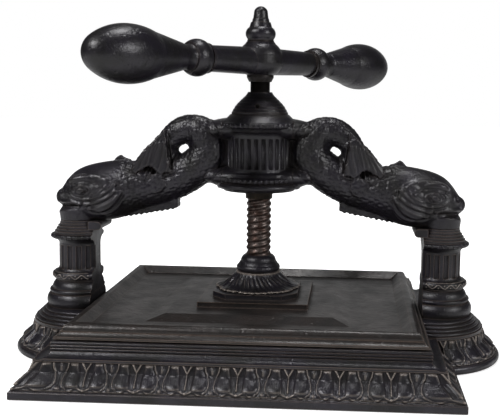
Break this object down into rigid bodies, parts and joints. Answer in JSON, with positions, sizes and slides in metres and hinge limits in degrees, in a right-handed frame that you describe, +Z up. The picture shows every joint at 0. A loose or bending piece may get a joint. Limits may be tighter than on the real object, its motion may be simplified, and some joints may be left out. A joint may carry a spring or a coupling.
{
  "type": "copying press",
  "caption": "Cast iron screw press with a fluted hub on dolphin arms, fluted columns, a panelled platen, a moulded bed and a crossbar handle with pear grips.",
  "frame": {"origin": "centre of the bounding box at the level of the bed's underside, on the screw's axis", "axes": "+Z up along the screw; +X along the arch, to the right for the person at the front; +Y to the back"},
  "size_m": [0.47, 0.324, 0.3315],
  "materials": {
    "cast_iron": "blackened, worn satin",
    "steel": "darkened",
    "rusted_steel": "brown with age",
    "gunmetal": "tarnished"
  },
  "bodies": {
    "frame": {"bed": "cast_iron", "left_column": "cast_iron", "right_column": "cast_iron", "arch": "cast_iron", "column_bolts": "steel", "column_bolt_washers": "steel", "nut_bush": "gunmetal", "bush_set_screw": "steel"},
    "platen": {"platen": "cast_iron", "screw_socket": "cast_iron", "socket_screws": "steel", "thrust_washer": "gunmetal"},
    "screw": {"screw": "rusted_steel", "bell_collar": "cast_iron", "bell_pin": "steel", "boss_ring": "steel", "handle": "cast_iron", "left_grip": "cast_iron", "right_grip": "cast_iron", "grip_studs": "steel", "finial_nut": "cast_iron", "finial_washer": "steel"}
  },
  "joints": [
    {"name": "platen_slide", "type": "slide", "parent": "frame", "child": "platen", "axis": [0, 0, 1], "range_m": [0, 0.05]},
    {"name": "screw_turn", "type": "hinge", "parent": "platen", "child": "screw", "pos_m": [0, 0, 0.2], "axis": [0, 0, 1], "range_deg": [0, 1474.9]}
  ],
  "couplings": [
    {"joint": "platen_slide", "follows": "screw_turn", "m_per_rad": 0.0019417}
  ]
}
